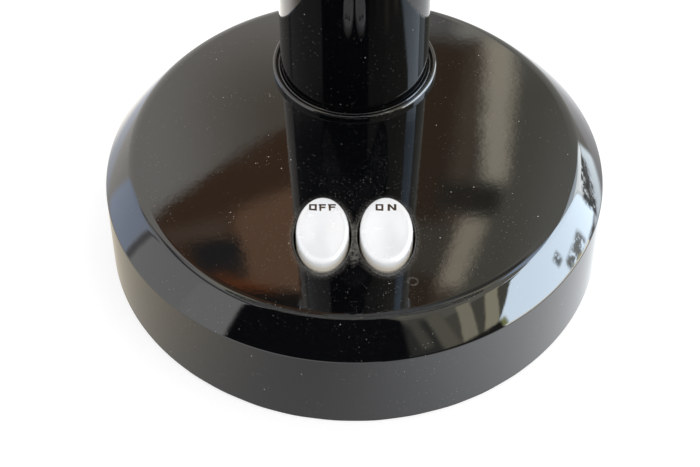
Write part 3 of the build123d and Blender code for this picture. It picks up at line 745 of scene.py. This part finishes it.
def rollRim(bm, centre):
    # a narrow flat ring, then a quarter round down into the base, then straight down
    shape = holeShape
    roll = shape["roll"]
    rows = [(roll + shape["flat"], 0.0), (roll, 0.0)]
    for step in range(1, shape["rollSteps"] + 1):
        angle = math.radians(step * shape["rollStep"])
        rows.append((roll * (1 - math.sin(angle)), roll * (1 - math.cos(angle))))
    rows.append((0.0, roll + shape["drop"]))
    edges = rimEdges(bm, centre)
    for (wasOut, wasDown), (out, down) in zip(rows, rows[1:]):
        made = bmesh.ops.extrude_edge_only(bm, edges=edges)["geom"]
        verts = [g for g in made if isinstance(g, bmesh.types.BMVert)]
        edges = [g for g in made if isinstance(g, bmesh.types.BMEdge)]
        wide = (shape["halfWidth"] + out) / (shape["halfWidth"] + wasOut)
        long = (shape["halfLength"] + out) / (shape["halfLength"] + wasOut)
        bmesh.ops.scale(bm, vec=(wide, long, 1), space=Matrix.Translation(-centre), verts=verts)
        bmesh.ops.translate(bm, vec=(0, 0, (wasDown - down) * mm), verts=verts)
        if down == 0.0:
            for vert in verts:
                onDome(vert)


def cutInlet(bm):
    # the square opening at the back for the cord's grommet
    shape = baseShape
    half = shape["inletHalf"]
    height = shape["inletHeight"]
    sides = [((side * half, 0, 0), (1, 0, 0)) for side in (1, -1)]
    ends = [((0, 0, height + side * half), (0, 0, 1)) for side in (-1, 1)]
    behind = shape["inletRear"] * mm
    for place, normal in sides + ends:
        # upright faces at the back
        rear = [f for f in bm.faces if f.calc_center_median().y > behind and f.normal.z**2 < 0.01]
        bisect(bm, rear, place, normal)
    inlet = []
    for face in bm.faces:
        middle = face.calc_center_median() / mm
        if middle.y > shape["inletRear"] and abs(middle.x) < half and abs(middle.z - height) < half:
            inlet.append(face)
    bmesh.ops.delete(bm, geom=inlet, context="FACES")


def baseShell():
    shape = baseShape
    bm = turned(basePath(), shape["turns"])
    centres = [Vector((side * holeShape["pitch"] / 2, holeShape["row"], 0)) * mm for side in (-1, 1)]
    fillPlate(bm, centres)
    for centre in centres:
        rollRim(bm, centre)
    cutInlet(bm)
    piece = makePiece("baseShell", bm, "base", "black_enamel", "base_shell", shape["sharp"])
    wall = piece.modifiers.new("wall", "SOLIDIFY")
    wall.thickness = shape["steel"] * mm
    wall.offset = -1
    print("lamp: base shell,", len(piece.data.polygons), "faces")


baseShell()


# white spoon-topped buttons, engraved and filled, hollow below on a round stem
buttonShape = {
    "halfWidth": 10.1,
    "halfLength": 16.9,
    "draft": 0.2,
    "foot": 43.97,
    "top": 55.17,
    "wall": 1.8,
    "ceiling": 50.97,
    "stemRadius": 3.0,
    "stemTip": 35.17,
    "stemBevel": 0.4,
    "rimRound": 2.0,
    "rimSteps": 8,
    "rimLow": 1.3,
    "points": 96,
    "rings": 26,
    "dishDepth": 1.8,
    "dishHalfWidth": 8.6,
    "dishHalfLength": 14.2,
    "dishShift": 2.0,
    "dishPower": 1.4,
    "sharp": 50,
}
# letters as strokes (x0, y0, x1, y1) on a square of one unit
letterShapes = {
    "O": [(0, 0, 1, 0.25), (0, 0.75, 1, 1), (0, 0, 0.27, 1), (0.73, 0, 1, 1)],
    "F": [(0, 0, 0.3, 1), (-0.12, 0.75, 1, 1), (-0.04, 0.38, 0.92, 0.62)],
    "N": [(0, 0, 0.28, 1), (0.74, 0, 1.02, 1), "slant"],
}
# each letter's left edge and width, and their common row, in millimetres
letterPlaces = {
    "off": [("O", -17.4, 3.0), ("F", -13.4, 2.5), ("F", -9.8, 2.7)],
    "on": [("O", 8.1, 3.0), ("N", 12.7, 3.3)],
}
letterRow = {"low": -40.3, "height": 3.15, "depth": 0.35, "sink": 0.25, "tall": 3.0, "slantWidth": 0.9}


def dishFall(x, y):
    shape = buttonShape
    across = x / shape["dishHalfWidth"]
    along = (y + shape["dishShift"]) / shape["dishHalfLength"]
    inside = max(0.0, 1 - across**2 - along**2)
    return shape["dishDepth"] * inside ** shape["dishPower"]


def letterBlock(bm, x0, y0, x1, y1):
    # a block from the letters' floor up through the button's top
    row = letterRow
    middle = buttonShape["top"] - row["sink"] - row["depth"] + row["tall"] / 2
    made = bmesh.ops.create_cube(bm, size=1)["verts"]
    bmesh.ops.scale(bm, vec=((x1 - x0) * mm, (y1 - y0) * mm, row["tall"] * mm), verts=made)
    bmesh.ops.translate(bm, vec=((x0 + x1) / 2 * mm, (y0 + y1) / 2 * mm, middle * mm), verts=made)
    return made


def letters(name):
    bm = bmesh.new()
    low, height, slantWidth = (letterRow[n] for n in ("low", "height", "slantWidth"))
    for letter, left, width in letterPlaces[name]:
        for stroke in letterShapes[letter]:
            if stroke == "slant":
                for vert in letterBlock(bm, left, low, left + slantWidth, low + height):
                    if vert.co.y < (low + height / 2) * mm:
                        vert.co.x += (width - slantWidth) * mm
            else:
                x0, y0, x1, y1 = stroke
                letterBlock(bm, left + x0 * width, low + y0 * height, left + x1 * width, low + y1 * height)
    return bm


def buttonRows():
    # half sizes and height of ovals from the stem's tip, round the hollow and over the rim to the dish's middle
    shape = buttonShape
    tip, ceiling, foot, top = (shape[n] for n in ("stemTip", "ceiling", "foot", "top"))
    width, length, rim = shape["halfWidth"], shape["halfLength"], shape["rimRound"]
    stem, bevel = shape["stemRadius"], shape["stemBevel"]
    hollow = (width - shape["wall"], length - shape["wall"])
    rows = [(0, 0, tip), (stem - bevel, stem - bevel, tip), (stem, stem, tip + bevel), (stem, stem, ceiling)]
    rows += [(*hollow, ceiling), (*hollow, foot), (width + shape["draft"], length + shape["draft"], foot)]
    rows.append((width, length, top - rim * shape["rimLow"]))
    for step in range(shape["rimSteps"] + 1):
        angle = math.radians(90 * step / shape["rimSteps"])
        shrink = rim * (1 - math.cos(angle))
        rows.append((width - shrink, length - shrink, top - rim * (1 - math.sin(angle))))
    for step in range(1, shape["rings"] + 1):
        share = 1 - step / shape["rings"]
        rows.append(((width - rim) * share, (length - rim) * share, top))
    return rows


def pushButton(name, side):
    shape = buttonShape
    x = side * holeShape["pitch"] / 2
    y = holeShape["row"]
    bm = bmesh.new()
    loop = bmesh.ops.create_circle(bm, segments=shape["points"], radius=1)["verts"]
    spokes = {vert: vert.co.copy() for vert in loop}
    edges = list({edge for vert in loop for edge in vert.link_edges})
    for index, (across, along, z) in enumerate(buttonRows()):
        if index:
            made = bmesh.ops.extrude_edge_only(bm, edges=edges)["geom"]
            edges = [g for g in made if isinstance(g, bmesh.types.BMEdge)]
            grown = {}
            for vert in (g for g in made if isinstance(g, bmesh.types.BMVert)):
                below = [e.other_vert(vert) for e in vert.link_edges if e.other_vert(vert) in spokes]
                grown[vert] = spokes[below[0]]
            spokes = grown
        for vert, spoke in spokes.items():
            px, py = spoke.x * across, spoke.y * along
            fall = dishFall(px, py) if z > shape["ceiling"] else 0
            vert.co = Vector((x + px, y + py, z - fall)) * mm
    part = name + "_button"
    piece = makePiece(name + "Button", bm, part, "white_button", part, shape["sharp"], ["letter_paint"])
    cutAway(piece, letters(name), name + "Letters")
    print("lamp:", name, "button,", len(piece.data.polygons), "faces")


pushButton("off", -1)
pushButton("on", 1)


# the coil spring under each button
springShape = {
    "low": 40.82,
    "high": 50.9,
    "radius": 4.3,
    "wire": 0.4,
    "wirePoints": 10,
    "turns": 6,
    "steps": 28,
    "seat": 40.8,
    "keep": 0.7,
    "sharp": 60,
}


def buttonSpring(name, side):
    shape = springShape
    x = side * holeShape["pitch"] / 2
    y = holeShape["row"]
    climb = shape["high"] - shape["low"] - 2 * shape["wire"]
    count = shape["turns"] * shape["steps"]
    bm = bmesh.new()
    wire = bmesh.ops.create_circle(bm, segments=shape["wirePoints"], radius=shape["wire"] * mm)["verts"]
    bmesh.ops.rotate(bm, cent=(0, 0, 0), matrix=Matrix.Rotation(math.pi / 2, 3, "X"), verts=wire)
    start = Vector((x + shape["radius"], y, shape["low"] + shape["wire"])) * mm
    bmesh.ops.translate(bm, vec=start, verts=wire)
    bmesh.ops.spin(
        bm,
        geom=bm.verts[:] + bm.edges[:],
        cent=(x * mm, y * mm, 0),
        axis=(0, 0, 1),
        dvec=(0, 0, climb / count * mm),
        angle=math.radians(360 * shape["turns"]),
        steps=count,
    )
    bmesh.ops.holes_fill(bm, edges=[e for e in bm.edges if e.is_boundary])
    spring = makePiece(name + "Spring", bm, "base", "zinc_steel", name + "_spring", shape["sharp"])
    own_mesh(spring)


buttonSpring("off", -1)
buttonSpring("on", 1)
print("lamp: springs made")


# the felt under the base: a cut disc with a soft, slightly uneven rim and three holes for the screws
feltShape = {
    "radius": 99.22,
    "thickness": 1.5,
    "round": 0.45,
    "roundSegments": 4,
    "uneven": 0.13,
    "waves": ((7, 1), (17, 2), (41, 0)),
    "turns": 240,
    "holeRadius": 5.6,
    "holePoints": 40,
    "holeCircle": 81.5,
    "holeAngles": (30, 150, 270),
    "sharp": 50,
}


def rimWaver(angle):
    waves = feltShape["waves"]
    return sum(math.sin(count * angle + start) for count, start in waves) / len(waves)


def feltPad():
    shape = feltShape
    bm = bmesh.new()
    rim = bmesh.ops.create_circle(bm, segments=shape["turns"], radius=shape["radius"] * mm)["verts"]
    for vert in rim:
        vert.co *= 1 + shape["uneven"] * rimWaver(math.atan2(vert.co.y, vert.co.x)) / shape["radius"]
    radius = shape["holeRadius"] * mm
    for degrees in shape["holeAngles"]:
        hole = bmesh.ops.create_circle(bm, segments=shape["holePoints"], radius=radius)["verts"]
        angle = math.radians(degrees)
        place = Vector((math.cos(angle), math.sin(angle), 0)) * shape["holeCircle"] * mm
        bmesh.ops.translate(bm, vec=place, verts=hole)
    bmesh.ops.triangle_fill(bm, use_beauty=True, edges=bm.edges[:])
    made = bmesh.ops.extrude_face_region(bm, geom=bm.faces[:])["geom"]
    raised = [g for g in made if isinstance(g, bmesh.types.BMVert)]
    bmesh.ops.translate(bm, vec=(0, 0, shape["thickness"] * mm), verts=raised)
    outer = (shape["radius"] - 0.5) * mm
    edges = []
    for edge in bm.edges:
        first, last = (vert.co for vert in edge.verts)
        level = abs(first.z - last.z) < 0.01 * mm
        if level and ((first + last) / 2).xy.length > outer and edge.calc_face_angle(0) > 1:
            edges.append(edge)
    bmesh.ops.bevel(
        bm,
        geom=edges,
        offset=shape["round"] * mm,
        segments=shape["roundSegments"],
        profile=0.5,
        affect="EDGES",
        material=-1,
        clamp_overlap=True,
    )
    pad = makePiece("feltPad", bm, "base", "felt", "felt_pad", shape["sharp"])
    print("lamp: felt pad,", len(pad.data.polygons), "faces")


feltPad()


def dressNodes():
    # the CAD nodes that keep their own shape take their finish here
    slotNames = {row["node"]: row["material_slot"] for row in frame["record"]["subparts"]}
    for name, node in nodes.items():
        finish = finishes.get(name, finishes[slotNames[name]]).owner
        if not node.data.materials:
            node.data.materials.append(finish)
        for slot in node.material_slots:
            slot.material = finish


dressNodes()
print("lamp: frame dressed")


# "soft" is the plain light from all sides; light bounces off the floor's "floorColour", and the camera
# sees "floorSeen", which takes the shadow, with the even "floorLight" added
studio = {
    "soft": 1.06,
    "white": (1.0, 1.0, 1.0),
    "floorSize": 6.0,
    "floorColour": (0.82, 0.82, 0.82),
    "floorSeen": (0.36, 0.36, 0.36),
    "floorLight": (0.72, 0.72, 0.72),
    "lampPower": 17.0,
    "lampSize": 1.4,
    "lampPlace": (0.9, -0.5, 1.8),
}
# the plain room behind the cards, from low to high, and how uneven the cards' edges are, in degrees
room = {
    "low": (0.70, 0.68, 0.64),
    "high": (0.52, 0.54, 0.58),
    "fade": (-10, 60),
    "ragged": 1.1,
    "raggedNoise": (9.0, 5.0, 0.6),
    "leafNoise": (5.0, 0.7),
    "leafFade": (0.38, 0.52),
}
# soft cards of light in the room round the lamp, mirrored by the gloss, each painted over those before it
# "across" is the bearing from +Y towards +X and "up" the height above the horizon, both in degrees
# "lean" shifts a card's bearing per degree of height, "tilt" its height per degree of bearing
# "leaves" is the scale of the foliage that breaks a card up
mirrored = {
    "farWall": {"across": (-60, 3), "up": (-28, 64), "soft": 4, "colour": (1.27, 1.22, 1.14)},
    "wallFade": {"across": (-10, 6), "up": (37.5, 70), "soft": 5, "colour": (0.58, 0.5, 0.4)},
    "beam": {"across": (-56, 3), "up": (53.0, 80), "soft": 0.6, "tilt": -0.43, "colour": (0.31, 0.17, 0.095)},
    "beamSide": {
        "across": (-9.6, 3), "up": (47.6, 55), "soft": 0.8, "tilt": -0.25,
        "colour": (0.84, 0.48, 0.29),
    },
    "beamPatch": {"across": (-15.5, -10), "up": (49.4, 50.7), "soft": 0.7, "colour": (0.5, 0.34, 0.24)},
    "beamHollow": {"across": (-13.6, -9.4), "up": (50.8, 53.6), "soft": 0.6, "colour": (0.1, 0.1, 0.098)},
    "beamGlow": {
        "across": (-12.5, -6.8), "up": (53.9, 55.1), "soft": 0.4, "tilt": 0.28,
        "colour": (0.87, 0.26, 0.072),
    },
    "beamEnd": {
        "across": (-14, 3), "up": (54.9, 62), "soft": 0.5, "tilt": 0.1,
        "colour": (0.061, 0.051, 0.041),
    },
    "rightWall": {"across": (10, 60), "up": (-8, 66), "soft": 4, "colour": (0.83, 0.82, 0.74)},
    "cornice": {"across": (11, 66), "up": (56.5, 68), "soft": 1.5, "colour": (0.28, 0.27, 0.24)},
    "rightFade": {"across": (3, 14), "up": (38, 60), "soft": 2.5, "colour": (0.53, 0.51, 0.41)},
    "farCorner": {"across": (6.3, 11), "up": (22, 37.2), "soft": 0.9, "colour": (1.31, 1.28, 1.13)},
    "doorway": {"across": (3, 8.7), "up": (37, 60), "soft": 0.9, "colour": (0.23, 0.15, 0.092)},
    "doorEdge": {"across": (7.2, 8.9), "up": (37, 60), "soft": 0.8, "colour": (0.42, 0.33, 0.24)},
    "doorTop": {"across": (4, 8), "up": (50.3, 53.6), "soft": 0.8, "colour": (0.39, 0.34, 0.27)},
    "frameLow": {
        "across": (8.8, 10.7), "up": (36.5, 46.9), "soft": 0.7, "lean": 0.14,
        "colour": (1.98, 1.79, 1.43),
    },
    "frameGap": {"across": (6.5, 11.2), "up": (47.2, 49.2), "soft": 0.7, "colour": (0.16, 0.14, 0.11)},
    "frameHigh": {
        "across": (8.0, 10.0), "up": (49.7, 54.3), "soft": 0.7, "lean": -0.22,
        "colour": (1.81, 1.6, 1.24),
    },
    "whiteWall": {"across": (-128.4, -66), "up": (-8, 60), "soft": 0.9, "colour": (1.23, 1.23, 1.23)},
    "lightEnd": {"across": (-128.4, -108), "up": (6, 40), "soft": 1.0, "colour": (1.34, 1.34, 1.32)},
    "leftGlass": {"across": (-77.5, -56), "up": (-9, 28), "soft": 2, "colour": (1.32, 1.51, 1.91)},
    "wallEnd": {"across": (-80.5, -77.3), "up": (-4, 30), "soft": 1.2, "colour": (0.53, 0.53, 0.55)},
    "leftShelf": {"across": (-132, -60), "up": (43, 51), "soft": 2.0, "colour": (0.25, 0.25, 0.26)},
    "ceilingLeft": {"across": (-120, -62), "up": (58, 72), "soft": 2, "colour": (1.48, 1.43, 1.16)},
    "ceilingRight": {"across": (60, 152), "up": (60, 74), "soft": 3, "colour": (1.28, 1.21, 0.96)},
    "rightUpper": {"across": (90, 165), "up": (28, 62), "soft": 3, "colour": (0.83, 0.79, 0.66)},
    "window": {
        "across": (61.5, 121), "up": (3.5, 56), "soft": 0.9, "tilt": 0.29,
        "colour": (6.6, 7.79, 8.98),
    },
    "windowHigh": {"across": (61.5, 92), "up": (42.5, 58), "soft": 1.5, "colour": (1.81, 2.26, 2.91)},
    "windowTop": {
        "across": (86, 130), "up": (33.5, 62), "soft": 1.2, "tilt": -0.3,
        "colour": (0.99, 0.94, 0.79),
    },
    "windowEdgeHigh": {"across": (44, 61.5), "up": (18, 40), "soft": 1.6, "colour": (2.8, 3.2, 3.5)},
    "windowEdge": {"across": (44, 61.5), "up": (-2, 22), "soft": 1.6, "colour": (5.4, 5.75, 5.9)},
    "tableGleam": {"across": (43.5, 66), "up": (-17, -5), "soft": 1.2, "colour": (3.3, 3.7, 4.0)},
    "plant": {
        "across": (47.5, 62.5), "up": (-7, 1), "soft": 1.0, "leaves": 30.0,
        "colour": (0.4, 0.42, 0.42),
    },
    "farTree": {
        "across": (85.2, 89), "up": (9.6, 13.9), "soft": 0.9, "leaves": 34.0,
        "colour": (1.39, 1.55, 1.66),
    },
    "bushes": {
        "across": (73, 86), "up": (0.8, 6.6), "soft": 1.2, "tilt": 0.2, "leaves": 26.0,
        "colour": (1.37, 1.48, 1.43),
    },
    "sill": {"across": (78, 121), "up": (5.6, 7.4), "soft": 0.5, "tilt": 0.29, "colour": (3.21, 2.89, 1.76)},
    "table": {"across": (72, 121), "up": (-30, 5.4), "soft": 0.4, "tilt": 0.29, "colour": (6.37, 6.03, 5.22)},
    "shutters": {
        "across": (112.6, 170), "up": (14, 33), "soft": 0.9, "lean": -1.6,
        "colour": (0.54, 0.52, 0.41),
    },
    "shutterShade": {"across": (142, 172), "up": (14, 38), "soft": 4, "colour": (0.22, 0.22, 0.2)},
    "hedge": {"across": (117.6, 122.6), "up": (14.6, 18.6), "soft": 1.0, "colour": (1.65, 1.8, 0.7)},
    "shutterNear": {
        "across": (116, 123.2), "up": (15, 36), "soft": 0.8, "lean": -0.65,
        "colour": (2.23, 2.08, 1.54),
    },
    "shutterMiddle": {
        "across": (128.4, 135), "up": (15, 38), "soft": 0.8, "lean": -0.25,
        "colour": (1.82, 1.72, 1.28),
    },
    "shutterFar": {
        "across": (138.8, 145.5), "up": (15, 38), "soft": 1.2, "lean": 0.2,
        "colour": (0.83, 0.79, 0.61),
    },
    "shutterLast": {
        "across": (150, 154.5), "up": (24, 40), "soft": 1.5, "lean": 0.25,
        "colour": (0.54, 0.51, 0.42),
    },
    "wainscot": {
        "across": (120, 170), "up": (-30, 20.6), "soft": 0.8, "tilt": 0.09,
        "colour": (0.099, 0.089, 0.079),
    },
    "darkFront": {"across": (158, 231.6), "up": (4, 73), "soft": 1.6, "colour": (0.01, 0.01, 0.01)},
}
# painted reflection: the floor's glow to the gloss, in front of the lamp, behind it and further out, with a
# painted shadow in front; distances in metres
paintedFloorGlow = {
    "left": (0.80, 0.72, 0.58),
    "middle": (0.48, 0.48, 0.48),
    "right": (1.3, 1.34, 1.38),
    "leftFade": (-0.13, -0.03),
    "rightFade": (-0.03, 0.11),
    "behindLeft": (2.3, 2.22, 2.1),
    "behindRight": (1.2, 1.22, 1.25),
    "behindFade": (0.02, 0.09),
    "farLeft": (1.35, 1.4, 1.55),
    "farRight": (1.0, 1.0, 1.02),
    "farFade": (0.15, 0.2),
    "sideFade": (-0.1, 0.1),
    "end": (0.23, 0.29),
}


def cardMask(finish, card, azimuth, height, spot):
    # 1 on a card and 0 round it; a card that passes due south gets bearings from 0 to 360
    (west, east), (low, high), soft = card["across"], card["up"], card["soft"]
    bearing = azimuth
    if east > 180:
        bearing = azimuth + (1 - azimuth.smooth(-0.01, 0.01)) * 360
    leant, lifted = bearing, height
    if "lean" in card:
        leant = bearing - (height - (low + high) / 2) * card["lean"]
    if "tilt" in card:
        lifted = height - (bearing - (west + east) / 2) * card["tilt"]
    side = leant.smooth(west - soft, west + soft) * (1 - leant.smooth(east - soft, east + soft))
    mask = side * lifted.smooth(low - soft, low + soft) * (1 - lifted.smooth(high - soft, high + soft))
    if "leaves" in card:
        leaves = finish.noise(card["leaves"], *room["leafNoise"], spot)
        mask = mask * leaves.smooth(*room["leafFade"])
    return mask


def backdrop():
    # white to the camera, plain soft light on the lamp, and the room to the gloss
    world = bpy.data.worlds.new("studio")
    bpy.context.scene.world = world
    finish = Finish(world)
    spot = finish.node("ShaderNodeTexCoord", output="Generated")
    x, y, z = finish.parts(spot)
    ragged = (finish.noise(*room["raggedNoise"], spot) - 0.5) * room["ragged"]
    azimuth = x.combine("ARCTAN2", x, y) * (180 / math.pi) + ragged
    height = z.combine("ARCSINE", z) * (180 / math.pi) - ragged
    picture = finish.mix(height.smooth(*room["fade"]), room["low"], room["high"])
    for card in mirrored.values():
        picture = finish.mix(cardMask(finish, card, azimuth, height, spot), picture, card["colour"])
    plain = finish.mix(finish.ray("Is Glossy Ray"), (studio["soft"],) * 3, picture)
    shown = finish.ray("Is Camera Ray").larger(finish.ray("Is Transmission Ray"))
    colour = finish.mix(shown, plain, studio["white"])
    light = finish.node("ShaderNodeBackground", inputs={"Color": colour, "Strength": 1.0})
    finish.node("ShaderNodeOutputWorld", inputs={"Surface": light})


def paintedFloorTone(finish, x, y, reach):
    # painted reflection: the floor's glow to the gloss, with a painted shadow in front of the lamp
    look = paintedFloorGlow
    tone = finish.mix(x.smooth(*look["leftFade"]), look["left"], look["middle"])
    tone = finish.mix(x.smooth(*look["rightFade"]), tone, look["right"])
    side = x.smooth(*look["sideFade"])
    behind = finish.mix(side, look["behindLeft"], look["behindRight"])
    tone = finish.mix(y.smooth(*look["behindFade"]), tone, behind)
    outer = finish.mix(side, look["farLeft"], look["farRight"])
    return finish.mix(reach.smooth(*look["farFade"]), tone, outer)


def paleFloor():
    # the camera sees it pale with the lamp's shadow; the gloss sees a painted reflection, the floor glowing
    # near the lamp with painted tones and a painted shadow, and the room beyond
    look = studio
    finish = newFinish("paleFloor")
    x, y = finish.parts(finish.place())[:2]
    reach = (x * x + y * y).power(0.5)
    seen = finish.ray("Is Camera Ray")
    glossy = finish.ray("Is Glossy Ray")
    # the even glow to the camera, and the painted reflection with its painted shadow to the gloss
    light = finish.mix(glossy, look["floorLight"], paintedFloorTone(finish, x, y, reach))
    glow = finish.node("ShaderNodeEmission", inputs={"Color": light, "Strength": 1.0})
    colour = finish.mix(seen, look["floorColour"], look["floorSeen"])
    pale = finish.node("ShaderNodeBsdfDiffuse", inputs={"Color": colour})
    both = finish.node("ShaderNodeAddShader", inputs={0: glow, 1: pale})
    lit = finish.node("ShaderNodeMixShader", inputs={0: seen, 1: pale, 2: both})
    clear = finish.node("ShaderNodeBsdfTransparent")
    near = finish.node("ShaderNodeMixShader", inputs={0: reach.smooth(*paintedFloorGlow["end"]), 1: glow, 2: clear})
    shown = finish.node("ShaderNodeMixShader", inputs={0: glossy, 1: lit, 2: near})
    finish.node("ShaderNodeOutputMaterial", inputs={"Surface": shown})
    return finish.owner


def floor():
    bm = bmesh.new()
    bmesh.ops.create_grid(bm, x_segments=1, y_segments=1, size=studio["floorSize"] / 2)
    mesh = bpy.data.meshes.new("floor")
    bm.to_mesh(mesh)
    bm.free()
    mesh.materials.append(paleFloor())
    piece = bpy.data.objects.new("floor", mesh)
    bpy.context.scene.collection.objects.link(piece)


def softbox():
    # a large lamp, high on the right, that the gloss doesn't mirror
    made = bpy.data.lights.new("softbox", "AREA")
    made.shape = "SQUARE"
    made.size = studio["lampSize"]
    made.energy = studio["lampPower"]
    lamp = bpy.data.objects.new("softbox", made)
    bpy.context.scene.collection.objects.link(lamp)
    place = Vector(studio["lampPlace"])
    lamp.matrix_world = Matrix.Translation(place) @ (-place).to_track_quat("-Z", "Y").to_matrix().to_4x4()
    lamp.visible_glossy = False


backdrop()
floor()
softbox()
bpy.context.scene.view_settings.view_transform = "Standard"
print("lamp: studio set")
